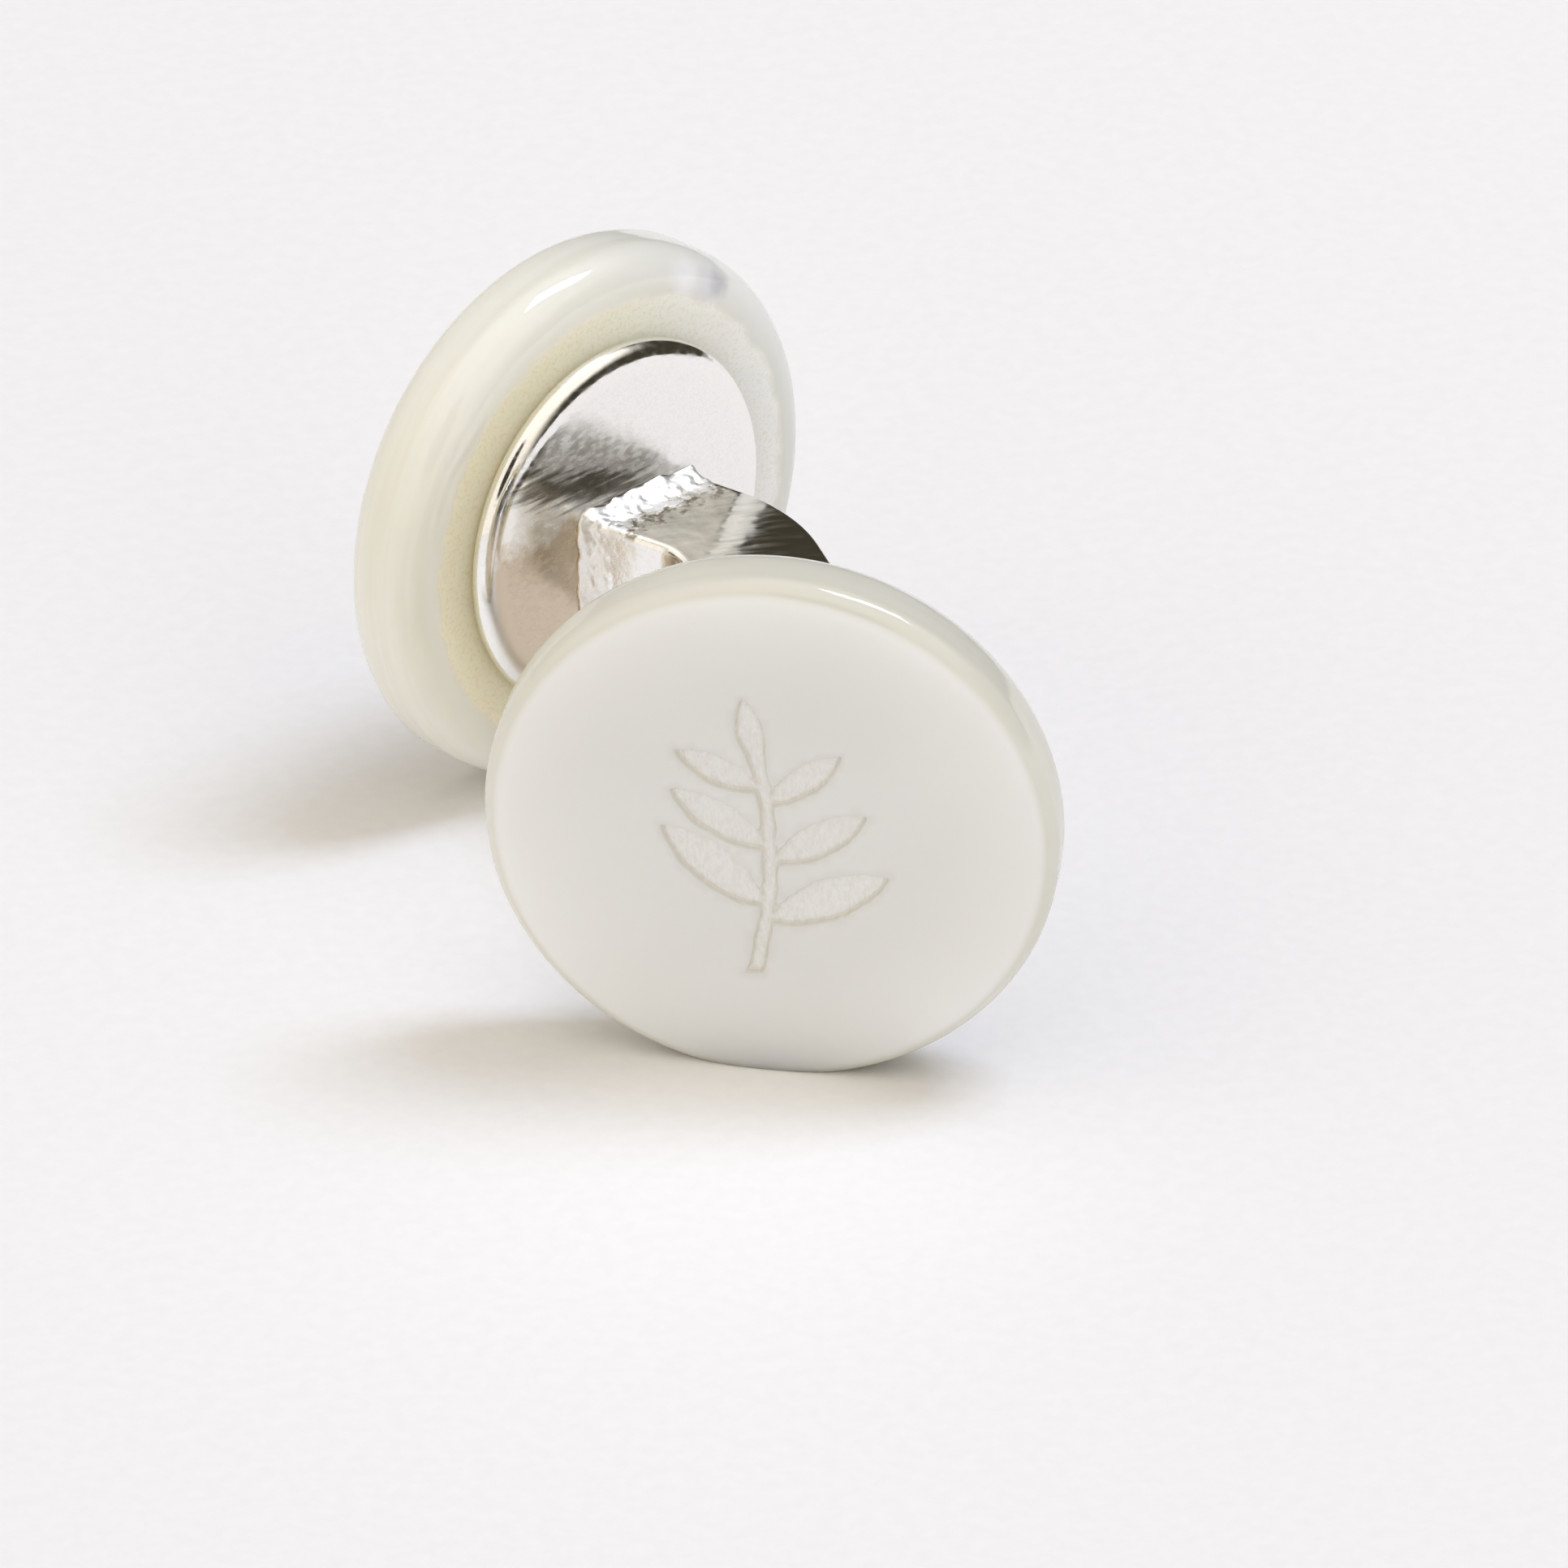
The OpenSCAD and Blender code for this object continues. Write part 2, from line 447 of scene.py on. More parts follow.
def over_plate(point):
    """Height of a point over the rear plate's inner face."""
    return (point - PLATE_AT).dot(PLATE_WAY)


def unevenness(point, rows):
    """A share near 1 that varies over the surface, from rows of a noise's scale and weight."""
    return 1 + sum(weight * noise.noise(point * scale) for scale, weight in rows)


def solder_flare(point):
    """How far the solder widens the bar at a point on it."""
    reach_here = SOLDER_L * unevenness(point, SOLDER_EDGE_NOISE)
    rise = min(max(1 - over_plate(point) / reach_here, 0), 1)
    return SOLDER_W * rise ** SOLDER_CURVE * unevenness(point, SOLDER_LUMP_NOISE)


def make_bar():
    """Vertices and faces of the whole bar, both halves."""
    half = bar_stations()
    section = bar_section()
    leg_way = LEG_WAY.to_3d()
    rows = []
    for centre, side, slant in half:
        middle = centre.to_3d() + Vector((0, 0, BAR_MID))
        row = []
        for across, up in section:
            point = middle + side.to_3d() * across + Vector((0, 0, up))
            lift = over_plate(point) - over_plate(middle)
            point = point - leg_way * (slant * lift / leg_way.dot(PLATE_WAY))
            outward = Vector((across / BAR_W, up / BAR_H)).normalized()
            grow = solder_flare(point)
            row.append(point + side.to_3d() * outward.x * grow + Vector((0, 0, outward.y * grow)))
        rows.append(row)
    rows += [[Vector((p.x, -p.y, p.z)) for p in row] for row in reversed(rows[:-1])]
    verts = [p + MIDDLE for row in rows for p in row]
    faces = []
    n = len(section)
    for ring in range(len(rows) - 1):
        for i in range(n):
            j = (i + 1) % n
            faces.append((ring * n + i, ring * n + j, (ring + 1) * n + j, (ring + 1) * n + i))
    faces.append(tuple(range(n)))
    faces.append(tuple(range(len(verts) - n, len(verts))))
    return verts, faces


def plate_profile():
    """The section of a back plate, from the middle of its inner face to its other side."""
    inner, outer = -PLATE_FACE, PLATE_T - PLATE_FACE
    inner_face = [(r, inner) for r in np.arange(0, PLATE_R - PLATE_EDGE_W, PLATE_RING_STEP)]
    edge = [
        (PLATE_R - PLATE_EDGE_W * (1 - sin(a)), inner + PLATE_EDGE_T * (1 - cos(a)))
        for a in range(0, 91, PLATE_EDGE_STEP)
    ]
    bevel = [(PLATE_R, outer - PLATE_BEVEL), (PLATE_R - PLATE_BEVEL, outer)]
    return inner_face + edge + bevel + [(PLATE_OUTER_RING, outer), (0, outer)]


def join_by_boolean(thing, other):
    """Adds another solid to a solid, and deletes the other."""
    union = thing.modifiers.new("union", "BOOLEAN")
    union.operation = "UNION"
    union.solver = "EXACT"
    union.object = other
    graph = bpy.context.evaluated_depsgraph_get()
    mesh = bpy.data.meshes.new_from_object(thing.evaluated_get(graph))
    thing.modifiers.clear()
    thing.data = mesh
    bpy.data.objects.remove(other)


def make_silver_link():
    """Both back plates and the bar, as one solid."""
    link = make_object("silver_link_solid", *make_bar())
    for side in (-1, 1):
        plate = make_object("plate", *revolve(plate_profile(), PLATE_STEPS))
        plate.data.transform(disc_place(side))
        join_by_boolean(link, plate)
    clean_mesh(link.data, LINK_MERGE)
    link.data.shade_smooth()
    link.data.set_sharp_from_angle(angle=math.radians(LINK_SHARP))
    return link


# Shader nodes

class Nodes:
    """A short way to add and link the nodes of one tree."""

    def __init__(self, tree):
        self.tree = tree
        tree.nodes.clear()

    def add(self, kind, inputs, **settings):
        node = self.tree.nodes.new("ShaderNode" + kind)
        for key, value in settings.items():
            setattr(node, key, value)
        for key, value in inputs.items():
            if isinstance(value, bpy.types.NodeSocket):
                self.tree.links.new(value, node.inputs[key])
            else:
                node.inputs[key].default_value = value
        return node

    def maths(self, operation, *values):
        return self.add("Math", dict(enumerate(values)), operation=operation).outputs[0]

    def product(self, value, *others):
        for other in others:
            value = self.maths("MULTIPLY", value, other)
        return value

    def total(self, value, *others):
        for other in others:
            value = self.maths("ADD", value, other)
        return value

    def away_from(self, value, centre):
        """How far a value is from a centre, either way."""
        return self.maths("ABSOLUTE", self.maths("SUBTRACT", value, centre))

    def vector(self, operation, *values):
        node = self.add("VectorMath", dict(enumerate(values)), operation=operation)
        return node.outputs["Value" if operation in ("LENGTH", "DOT_PRODUCT") else "Vector"]

    def ramp(self, value, low, high, start=0.0, end=1.0):
        """A smooth step from start to end as the value goes from low to high."""
        inputs = {"Value": value, "From Min": low, "From Max": high, "To Min": start, "To Max": end}
        return self.add("MapRange", inputs, interpolation_type="SMOOTHSTEP").outputs[0]

    def split(self, place):
        return self.add("SeparateXYZ", {0: place}).outputs

    def join(self, x, y, z=0.0):
        return self.add("CombineXYZ", {0: x, 1: y, 2: z}).outputs[0]

    def noise(self, place, scale, detail=3.0, roughness=0.5):
        inputs = {"Vector": place, "Scale": scale, "Detail": detail, "Roughness": roughness}
        return self.add("TexNoise", inputs).outputs["Fac"]

    def mix(self, factor, first, second):
        """A mix of two colours."""
        node = self.add("Mix", {}, data_type="RGBA")
        for key, value in (("Factor_Float", factor), ("A_Color", first), ("B_Color", second)):
            socket = next(s for s in node.inputs if s.identifier == key)
            if isinstance(value, bpy.types.NodeSocket):
                self.tree.links.new(value, socket)
            else:
                socket.default_value = value
        return next(s for s in node.outputs if s.identifier == "Result_Color")

    def bump(self, height):
        """The surface's normal, from a relief in millimetres."""
        inputs = {"Height": height, "Distance": MM, "Strength": 1.0}
        return self.add("Bump", inputs).outputs[0]

    def millimetres(self, place=None):
        """The point on the object, in millimetres in a given frame."""
        place = place or Matrix()
        return self.add("Mapping", {
            "Vector": self.add("TexCoord", {}).outputs["Object"],
            "Location": place.translation,
            "Rotation": place.to_euler(),
            "Scale": (MM, MM, MM),
        }, vector_type="TEXTURE").outputs["Vector"]


def srgb(red, green, blue):
    """A colour given as it looks on screen, from 0 to 255."""
    def linear(value):
        value /= 255
        return value / 12.92 if value <= 0.04045 else ((value + 0.055) / 1.055) ** 2.4
    return (linear(red), linear(green), linear(blue), 1)


def new_material(name):
    material = bpy.data.materials.new(name)
    material.use_nodes = True
    return material, Nodes(material.node_tree)


def finish_material(nodes, shader):
    nodes.add("OutputMaterial", {"Surface": shader.outputs[0]})


# Pearl

PEARL_FACE = (srgb(232, 233, 232), srgb(229, 230, 228))
PEARL_LAYER = srgb(196, 188, 160)
SKIN_SPECK = srgb(208, 174, 124)
CUT_FROST = (srgb(240, 239, 235), srgb(250, 250, 248))
CUT_EDGE = srgb(150, 138, 108)
# How strongly the shell's layers, the skin's grains and the cut's edge colour the pearl
LAYER_STRENGTH = 0.14
SPECK_STRENGTH = 0.2
CUT_EDGE_STRENGTH = 0.45

# In a disc's own frame: heights between which its back ends and its face begins, and places across
# it between which its rim and its skin turn from one colour to the other. That turn is partly
# painted light and shade: each side's colour is set to how brightly and warmly that side is lit.
BACK_ENDS = (0.02 - DISC_T / 2, 0.06 - DISC_T / 2)
FACE_BEGINS = (DISC_T / 2 - 0.1, DISC_T / 2)
TONE_AND_SHADE_TURNS = (-DISC_R, 0.6 * DISC_R)
# Radii between which the bare skin on a disc's back ends, and how much that edge wanders
SKIN_ENDS = (5.85, 6.2)
SKIN_WANDER = 0.4

# Roughness of polished pearl, what the flat face and the engraving's floor add to it, and the
# roughness that the bare skin brings it to
POLISHED = 0.05
FACE_ROUGHER = 0.15
CUT_ROUGHER = 0.35
BARE = 0.5

# Depths of the relief: the skin's grain, the engraving's, the shell's leaves and the polish
SKIN_GRAIN_T = 0.03
CUT_GRAIN_T = 0.02
SHELL_LEAF_T = 0.009
POLISH_T = 0.002

# Spots in the shell: a white patch and violet-grey ones. Each row has the centre in the disc's own
# frame, the size, the strength and the colour.
SHELL_SPOTS = (
    ((-2.9, 5.7, -0.7), 0.8, 0.8, srgb(246, 246, 248)),
    ((-3.65, 5.2, -0.7), 0.8, 0.6, srgb(214, 213, 223)),
    ((-4.0, 5.0, -0.65), 0.5, 0.6, srgb(160, 157, 166)),
)


def pearl_material(name, side, rim, skin, engraved=False, spotted=False):
    """Polished mother-of-pearl. Rim and skin give the colours of the rim and the flat back at the
    disc's two sides, partly as painted light and shade.
    """
    material, nodes = new_material(name)
    place = nodes.millimetres(disc_place(side))
    parts = nodes.split(place)
    # across goes from one side's colour to the other's, which paints in part how each side is lit
    across = nodes.ramp(parts["X"], *TONE_AND_SHADE_TURNS)
    on_face = nodes.ramp(parts["Z"], *FACE_BEGINS)
    bare = bare_skin_mask(nodes, place, parts["Z"])
    grain = nodes.noise(place, 9.0, 4.0, 0.7)

    colour = nodes.mix(on_face, rim_colour(nodes, place, across, rim), face_colour(nodes, place))
    colour = nodes.mix(bare, colour, skin_colour(nodes, grain, across, skin))
    roughness = nodes.total(
        nodes.ramp(bare, 0, 1, POLISHED, BARE), nodes.ramp(on_face, 0.5, 1, 0, FACE_ROUGHER)
    )
    height = nodes.product(bare, grain, SKIN_GRAIN_T)
    if spotted:
        colour = add_shell_spots(nodes, place, colour)
    if engraved:
        colour, roughness, height = add_engraving(nodes, place, colour, roughness, height)

    leaves = nodes.noise(nodes.vector("MULTIPLY", place, (0.3, 0.3, 3.5)), 1.0, 3.0)
    polish = nodes.noise(place, 2.0, 2.0)
    height = nodes.total(
        height, nodes.product(leaves, SHELL_LEAF_T), nodes.product(polish, POLISH_T)
    )
    normal = nodes.bump(height)
    shader = nodes.add("BsdfPrincipled", {
        "Base Color": colour,
        "Roughness": roughness,
        "IOR": 1.6,
        "Subsurface Weight": 1.0,
        "Subsurface Radius": (1.0, 0.95, 0.88),
        "Subsurface Scale": 3.0 * MM,
        "Normal": normal,
    })
    finish_material(nodes, shader)
    return material


def bare_skin_mask(nodes, place, height):
    """The flat part of a disc's back, which isn't polished, with a wandering edge."""
    radius = nodes.vector("LENGTH", nodes.vector("MULTIPLY", place, (1, 1, 0)))
    edge = nodes.total(radius, nodes.product(nodes.noise(place, 1.4), SKIN_WANDER))
    on_back = nodes.ramp(height, *BACK_ENDS, 1, 0)
    return nodes.product(on_back, nodes.ramp(edge, *SKIN_ENDS, 1, 0))


def rim_colour(nodes, place, across, rim):
    """The rim, from one colour to the other across the disc, partly as painted light and shade, with
    the shell's faint layers.
    """
    layers = nodes.noise(nodes.vector("MULTIPLY", place, (0.1, 0.1, 2.2)), 1.0, 3.0, 0.55)
    layer = nodes.ramp(layers, 0.35, 0.65, LAYER_STRENGTH, 0)
    return nodes.mix(layer, nodes.mix(across, *rim), PEARL_LAYER)


def face_colour(nodes, place):
    """The flat face, with a faint cloud."""
    cloud = nodes.noise(nodes.vector("MULTIPLY", place, (0.2, 0.2, 0.2)), 1.0, 1.0)
    return nodes.mix(nodes.ramp(cloud, 0.3, 0.7), *PEARL_FACE)


def skin_colour(nodes, grain, across, skin):
    """The bare back, from one colour to the other across the disc, partly as painted light and shade,
    with darker grains.
    """
    speck = nodes.ramp(grain, 0.38, 0.5, SPECK_STRENGTH, 0)
    return nodes.mix(speck, nodes.mix(across, *skin), SKIN_SPECK)


def add_shell_spots(nodes, place, colour):
    """Small violet-grey spots in the shell, beside a white patch."""
    wander = nodes.add("TexNoise", {"Vector": place, "Scale": 1.5}).outputs["Color"]
    spot_place = nodes.vector("ADD", place, nodes.vector("MULTIPLY", wander, (0.5, 0.5, 0.5)))
    for centre, size, strength, tint in SHELL_SPOTS:
        far = nodes.vector("LENGTH", nodes.vector("SUBTRACT", spot_place, centre))
        colour = nodes.mix(nodes.ramp(far, 0, size, strength, 0), colour, tint)
    return colour


def add_engraving(nodes, place, colour, roughness, height):
    """Frosts the engraving's floor and darkens the edge of the cut."""
    floor = nodes.add("Attribute", {}, attribute_name="engraved").outputs["Fac"]
    cut_edge = nodes.add("Attribute", {}, attribute_name="cut_edge").outputs["Fac"]
    hatch = nodes.noise(nodes.vector("MULTIPLY", place, (9.0, 3.0, 1.0)), 1.6, 3.0, 0.7)
    frost = nodes.mix(nodes.ramp(hatch, 0.35, 0.65), *CUT_FROST)
    colour = nodes.mix(floor, colour, frost)
    colour = nodes.mix(nodes.product(cut_edge, CUT_EDGE_STRENGTH), colour, CUT_EDGE)
    roughness = nodes.total(roughness, nodes.product(floor, CUT_ROUGHER))
    height = nodes.total(height, nodes.product(hatch, floor, CUT_GRAIN_T))
    return colour, roughness, height


# Silver

SILVER = (srgb(247, 246, 242), srgb(253, 252, 250))
# Brown of a painted reflection: the shaded floor and the front disc's back, as the plates mirror them
PAINTED_REFLECTION = srgb(206, 186, 158)
DARK_STREAK_TONE = srgb(92, 82, 60)
PIT = srgb(120, 112, 94)
DIRT = srgb(118, 106, 82)
# How strongly they colour the silver, the dirt at its faintest and at its darkest
PAINTED_REFLECTION_STRENGTH = 0.85
DARK_STREAK_STRENGTH = 0.85
PIT_STRENGTH = 0.08
DIRT_STRENGTH = (0.1, 0.8)
# The solder on the bar is duller than silver
SOLDER_METALLIC = 0.8

# Heights over a plate between which its surface ends and the bar's begins, and radii between
# which its flat ends and where its painted reflection and dark streaks end
PLATE_ENDS = (0.01, 0.05)
BAR_BEGINS = (0.02, 0.06)
FLAT_ENDS = (3.9, 4.3)
MARKS_END = (4.35, 4.65)

# Between these heights over a plate the solder on the bar ends, and a line of dirt comes and goes.
# Their edges are ragged, because a noise is added to the height: from 0 to the first value.
RAGGED_H = 2.2
SOLDER_ENDS = (1.6, 2.3)
DIRT_COMES = (1.9, 2.15)
DIRT_GOES = (2.25, 2.6)
# The dirt lies on the bar's top, which begins between these heights
TOP_BEGINS = (BAR_TOP - 0.25, BAR_TOP - 0.1)

# The dark streaks: where their middle is along the plate, how high they are at the plate's
# middle, how much they fall along it, and how much longer than thick they are
DARK_STREAK_ALONG = -1.3
DARK_STREAK_UP = 1.15
DARK_STREAK_FALL = 0.33
STREAK_STRETCH = 9.0
# Distances from that middle between which the streaks fade out, up and along the plate, and how
# much a noise makes those edges ragged
DARK_STREAK_FADES_UP = (0.1, 0.7)
DARK_STREAK_FADES_ALONG = (1.4, 2.8)
DARK_STREAK_RAGGED_UP = 1.6
DARK_STREAK_RAGGED_ALONG = 3.2

# The painted reflection, a brown that stands for the shaded floor and the front disc's back mirrored
# in the plate: heights between which it fades out upwards, how patchy a noise makes that edge, and
# places along the plate between which it ends
PAINTED_REFLECTION_TOP = (0.3, 1.2)
PAINTED_REFLECTION_PATCHY = 2.0
PAINTED_REFLECTION_SIDE = (-1.2, -0.9)

# The puddle of solder on a plate: distances from the bar's foot between which it fades out, how
# much narrower a broad noise makes it, and how strong it is
PUDDLE_ENDS = (0.55, 1.1)
PUDDLE_NARROWER = 0.7
PUDDLE_STRENGTH = 0.7

# Roughness of polished and of scratched silver, and what the plates' flat and the solder add
SCRATCHED = (0.08, 0.2)
FLAT_ROUGHER = 0.12
SOLDER_ROUGHER = 0.2

# Depths of the relief: scratches, the solder's pits and the waves left by filing
SCRATCH_T = 0.0012
PIT_T = 0.01
WAVE_T = 0.02


def silver_material():
    """Hand-filed and polished silver, rough where it is soldered to the plates."""
    material, nodes = new_material("hand_polished_silver")
    place = nodes.millimetres()
    from_centre, over, along, up = plate_coordinates(nodes, place)
    ragged = nodes.noise(place, 2.6, 5.0, 0.7)
    scratches = nodes.noise(nodes.vector("MULTIPLY", place, (0.8, 5.0, 5.0)), 1.5, 2.0, 0.4)
    pits = nodes.noise(place, 14.0, 3.0, 0.7)
    wave = nodes.noise(place, 0.9, 2.0)

    on_bar = nodes.ramp(over, *BAR_BEGINS)
    on_plate = nodes.ramp(over, *PLATE_ENDS, 1, 0)
    radius = nodes.vector("LENGTH", from_centre)
    plate_flat = nodes.product(on_plate, nodes.ramp(radius, *FLAT_ENDS, 1, 0))
    marked_plate = nodes.product(on_plate, nodes.ramp(radius, *MARKS_END, 1, 0))
    ragged_over = nodes.total(over, nodes.product(ragged, RAGGED_H))
    bar_solder = nodes.product(nodes.ramp(ragged_over, *SOLDER_ENDS, 1, 0), on_bar)
    puddle = nodes.product(on_plate, puddle_mask(nodes, along, up, ragged))
    solder = nodes.maths("MAXIMUM", bar_solder, puddle)

    tone = nodes.mix(nodes.ramp(pits, 0.3, 0.7), *SILVER)
    # Painted reflection: brown where a plate mirrors the shaded floor and the front disc's back
    tone = nodes.mix(nodes.product(marked_plate, painted_reflection_mask(nodes, along, up)), tone, PAINTED_REFLECTION)
    tone = nodes.mix(nodes.product(marked_plate, dark_streak_mask(nodes, along, up)), tone, DARK_STREAK_TONE)
    tone = nodes.mix(nodes.product(solder, nodes.ramp(pits, 0.3, 0.42, PIT_STRENGTH, 0)), tone, PIT)
    tone = nodes.mix(dirt_mask(nodes, place, ragged_over, on_bar, up), tone, DIRT)
    roughness = nodes.total(
        nodes.ramp(scratches, 0.35, 0.7, *SCRATCHED),
        nodes.total(
            nodes.ramp(plate_flat, 0, 1, 0, FLAT_ROUGHER), nodes.ramp(solder, 0, 1, 0, SOLDER_ROUGHER)
        ),
    )
    height = nodes.total(
        nodes.product(scratches, SCRATCH_T),
        nodes.product(pits, solder, PIT_T),
        nodes.product(wave, WAVE_T),
    )
    normal = nodes.bump(height)
    shader = nodes.add("BsdfPrincipled", {
        "Base Color": tone,
        "Metallic": nodes.ramp(nodes.product(solder, on_bar), 0, 1, 1, SOLDER_METALLIC),
        "Roughness": roughness,
        "Normal": normal,
    })
    finish_material(nodes, shader)
    return material


def plate_coordinates(nodes, place):
    """A point seen from the middle of the nearer plate's inner face: the way to it, and how far
    it is over that face, along it towards the side that the bar bends to, and up."""
    parts = nodes.split(place)
    rear_half = nodes.join(parts["X"], nodes.maths("ABSOLUTE", parts["Y"]), parts["Z"])
    from_centre = nodes.vector("SUBTRACT", rear_half, MIDDLE + PLATE_AT)
    over = nodes.vector("DOT_PRODUCT", from_centre, PLATE_WAY)
    along = nodes.vector("DOT_PRODUCT", from_centre, Vector((cos(SPLAY), sin(SPLAY), 0)))
    up = nodes.split(from_centre)["Z"]
    return from_centre, over, along, up


def puddle_mask(nodes, along, up, ragged):
    """Where solder has run out onto a plate, round the bar's foot."""
    beside = nodes.maths("SUBTRACT", nodes.away_from(along, LEG_SHIFT), FOOT_W / 2)
    above = nodes.maths("SUBTRACT", nodes.away_from(up, BAR_MID), BAR_H / 2)
    broad = nodes.noise(nodes.join(along, up), 0.7, 1.0)
    narrower = nodes.ramp(broad, 0.38, 0.6, 0, PUDDLE_NARROWER)
    outside = nodes.total(nodes.maths("MAXIMUM", beside, above), nodes.total(ragged, narrower))
    return nodes.ramp(outside, *PUDDLE_ENDS, PUDDLE_STRENGTH, 0)


def dirt_mask(nodes, place, ragged_over, on_bar, up):
    """A broken line of dirt along the solder's edge, on the bar's top."""
    comes = nodes.ramp(ragged_over, *DIRT_COMES)
    goes = nodes.ramp(ragged_over, *DIRT_GOES, 1, 0)
    broken = nodes.ramp(nodes.noise(place, 5.0), 0.4, 0.6, *DIRT_STRENGTH)
    on_top = nodes.product(on_bar, nodes.ramp(up, *TOP_BEGINS))
    return nodes.product(comes, goes, broken, on_top)


def dark_streak_mask(nodes, along, up):
    """Dark streaks on a plate, over the bar's foot."""
    line = nodes.total(up, nodes.product(along, DARK_STREAK_FALL))
    stretched = nodes.join(along, nodes.product(up, STREAK_STRETCH))
    streaks = nodes.maths("SUBTRACT", nodes.noise(stretched, 0.7, 2.0, 0.5), 0.5)
    off_line = nodes.total(
        nodes.away_from(line, DARK_STREAK_UP), nodes.product(streaks, DARK_STREAK_RAGGED_UP)
    )
    off_middle = nodes.total(
        nodes.away_from(along, DARK_STREAK_ALONG), nodes.product(streaks, DARK_STREAK_RAGGED_ALONG)
    )
    return nodes.product(
        nodes.ramp(off_line, *DARK_STREAK_FADES_UP, DARK_STREAK_STRENGTH, 0),
        nodes.ramp(off_middle, *DARK_STREAK_FADES_ALONG, 1, 0),
    )


def painted_reflection_mask(nodes, along, up):
    """A painted reflection of the shaded floor and the front disc's back: a plate goes brown on one
    side of the bar's foot, from its top down.
    """
    patches = nodes.maths("SUBTRACT", nodes.noise(nodes.join(along, up), 1.3, 4.0, 0.6), 0.5)
    patchy_up = nodes.total(up, nodes.product(patches, PAINTED_REFLECTION_PATCHY))
    low = nodes.ramp(patchy_up, *PAINTED_REFLECTION_TOP, PAINTED_REFLECTION_STRENGTH, 0)
    return nodes.product(low, nodes.ramp(along, *PAINTED_REFLECTION_SIDE, 1, 0))


# Paper

PAPER = (srgb(243, 242, 242), srgb(246, 245, 245))
PAPER_TOOTH_T = 0.01


def paper_material():
    """White paper with a faint tooth."""
    material, nodes = new_material("white_paper")
    place = nodes.millimetres()
    tooth = nodes.noise(place, 2.2, 5.0, 0.6)
    colour = nodes.mix(nodes.ramp(tooth, 0.3, 0.7), *PAPER)
    normal = nodes.bump(nodes.product(tooth, PAPER_TOOTH_T))
    shader = nodes.add("BsdfPrincipled", {
        "Base Color": colour,
        "Roughness": 0.9,
        "Specular IOR Level": 0.1,
        "Normal": normal,
    })
    finish_material(nodes, shader)
    return material


# Camera and light

CAMERA_TURN = -18.55
CAMERA_TILT = 29.93
CAMERA_ROLL = -1.37
CAMERA_AWAY = 442.33
CAMERA_LENS = 415.76
CAMERA_FACING = Matrix.Rotation(math.radians(CAMERA_TURN), 3, "Z")
# Where the camera looks, right of and above the point midway between the discs
AIM_RIGHT = 2.6986
AIM_UP = -3.0534

# The key light. Azimuth 0 is away from the camera and 90 to its right, and the size and distance
# are in metres.
KEY = {
    "azimuth": 73, "elevation": 66.5, "size": (0.25, 0.5), "distance": 1.0,
    "power": 3.5, "colour": (0.83, 0.93, 1.2),
}

# What surrounds the cufflink: dark, with patches over it, each over those before it. A row has
# the azimuth and elevation of a patch's middle, the cosines between which it fades in, and its
# colour: a fill on the far left, the pale side near the camera, the pale ceiling, and a small dark
# patch where the camera stands.
STUDIO_DARK = srgb(58, 54, 44)
STUDIO_PATCHES = (
    (315, 10, 0.7, 0.95, srgb(180, 175, 166)),
    (205, 15, 0.05, 0.55, srgb(243, 235, 222)),
    (125, 72, 0.6, 0.85, srgb(255, 249, 238)),
    (180, 30, 0.955, 0.975, srgb(57, 53, 47)),
)
STUDIO_STRENGTH = 1.12
FLOOR_REACH = 3000


def camera_axes():
    """The levelled camera's right, up and forward directions."""
    right = CAMERA_FACING @ Vector((1, 0, 0))
    up = CAMERA_FACING @ Vector((0, sin(CAMERA_TILT), cos(CAMERA_TILT)))
    forward = CAMERA_FACING @ Vector((0, cos(CAMERA_TILT), -sin(CAMERA_TILT)))
    return right, up, forward


def add_camera():
    right, up, forward = camera_axes()
    aim = MIDDLE + right * AIM_RIGHT + up * AIM_UP
    rolled_right = right * cos(CAMERA_ROLL) - up * sin(CAMERA_ROLL)
    rolled_up = right * sin(CAMERA_ROLL) + up * cos(CAMERA_ROLL)
    data = bpy.data.cameras.new("camera")
    data.lens = CAMERA_LENS
    data.sensor_width = 36
    data.clip_start = 0.01
    data.clip_end = 10
    camera = bpy.data.objects.new("camera", data)
    turn = Matrix((rolled_right, rolled_up, -forward)).transposed().to_4x4()
    camera.matrix_world = Matrix.Translation((aim - forward * CAMERA_AWAY) * MM) @ turn
    bpy.context.scene.collection.objects.link(camera)
    bpy.context.scene.camera = camera


def sky_way(azimuth, elevation):
    """A direction: azimuth 0 is away from the camera and 90 to its right."""
    flat = Vector((sin(azimuth), cos(azimuth), 0)) * cos(elevation)
    return CAMERA_FACING @ (flat + Vector((0, 0, sin(elevation))))


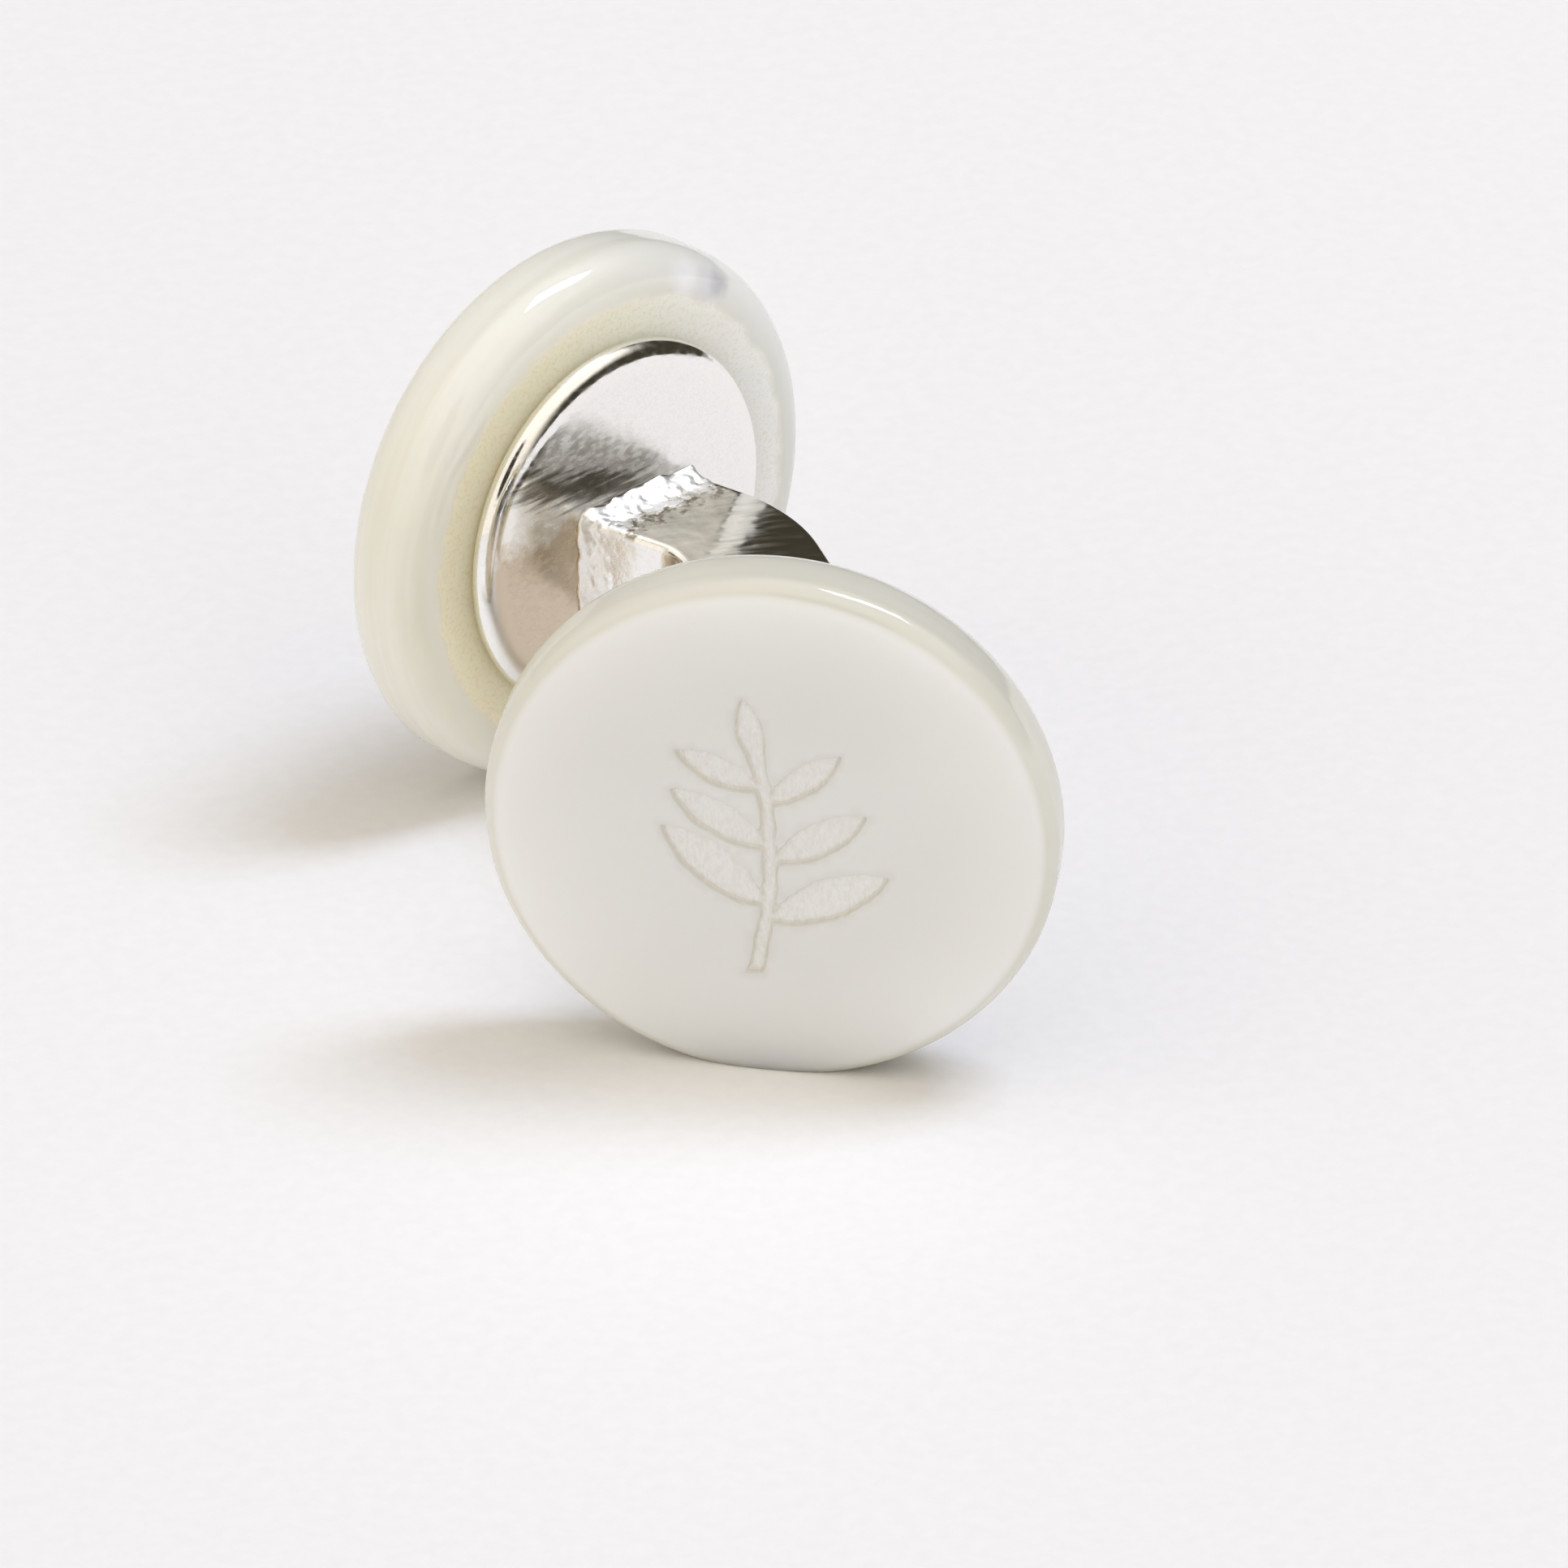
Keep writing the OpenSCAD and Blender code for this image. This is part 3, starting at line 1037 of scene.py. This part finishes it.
def add_softbox(name, azimuth, elevation, size, distance, power, colour):
    """A rectangular light that looks at the middle of the cufflink, and that the camera can't see."""
    data = bpy.data.lights.new(name, "AREA")
    data.shape = "RECTANGLE"
    data.size, data.size_y = size
    data.energy = power
    data.color = colour
    light = bpy.data.objects.new(name, data)
    way = sky_way(azimuth, elevation)
    middle = Vector((0, 0, STAND_H)) * MM
    turn = way.to_track_quat("Z", "Y").to_matrix().to_4x4()
    light.matrix_world = Matrix.Translation(middle + way * distance) @ turn
    light.visible_camera = False
    bpy.context.scene.collection.objects.link(light)


def add_surroundings():
    """The studio: pale on the camera's side and above, and dark where the silver mirrors it."""
    world = bpy.data.worlds.new("studio")
    bpy.context.scene.world = world
    world.use_nodes = True
    nodes = Nodes(world.node_tree)
    way = nodes.add("TexCoord", {}).outputs["Generated"]
    colour = STUDIO_DARK
    for azimuth, elevation, low, high, patch in STUDIO_PATCHES:
        facing = nodes.vector("DOT_PRODUCT", way, sky_way(azimuth, elevation))
        colour = nodes.mix(nodes.ramp(facing, low, high), colour, patch)
    background = nodes.add("Background", {"Color": colour, "Strength": STUDIO_STRENGTH})
    nodes.add("OutputWorld", {"Surface": background.outputs[0]})


def add_floor():
    r = FLOOR_REACH
    corners = [(-r, -r, 0), (r, -r, 0), (r, r, 0), (-r, r, 0)]
    floor = make_object("paper_floor", corners, [(0, 1, 2, 3)])
    floor.data.materials.append(paper_material())


# Build

# Colours of each disc's rim and flat back, at the two sides of the disc: partly the shell's own tone,
# and partly painted light and shade, each side's colour set to how brightly and warmly it is lit
FRONT_RIM_TONE_AND_SHADE = (srgb(216, 215, 206), srgb(212, 212, 203))
FRONT_SKIN_TONE_AND_SHADE = (srgb(248, 234, 206), srgb(248, 230, 196))
REAR_RIM_TONE_AND_SHADE = (srgb(222, 223, 218), srgb(237, 236, 225))
REAR_SKIN_TONE_AND_SHADE = (srgb(255, 253, 244), srgb(255, 239, 212))


def place_piece(piece, name, node, material):
    """Names a piece, gives it its material, puts it on the root body, and hides the CAD part that it
    stands for.
    """
    piece.name = name
    piece.data.name = name
    piece.data.materials.clear()
    piece.data.materials.append(material)
    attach(piece, "root")
    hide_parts(node)


place_piece(
    make_disc("front_pearl", -1, True), "front_pearl", "front_disc",
    pearl_material("engraved_pearl", -1, FRONT_RIM_TONE_AND_SHADE, FRONT_SKIN_TONE_AND_SHADE, engraved=True),
)
place_piece(
    make_disc("rear_pearl", 1, False), "rear_pearl", "rear_disc",
    pearl_material("plain_pearl", 1, REAR_RIM_TONE_AND_SHADE, REAR_SKIN_TONE_AND_SHADE, spotted=True),
)
place_piece(make_silver_link(), "silver_bar_and_plates", "silver_link", silver_material())

add_floor()
add_camera()
add_surroundings()
add_softbox("key_softbox", **KEY)
bpy.context.scene.view_settings.view_transform = "Standard"
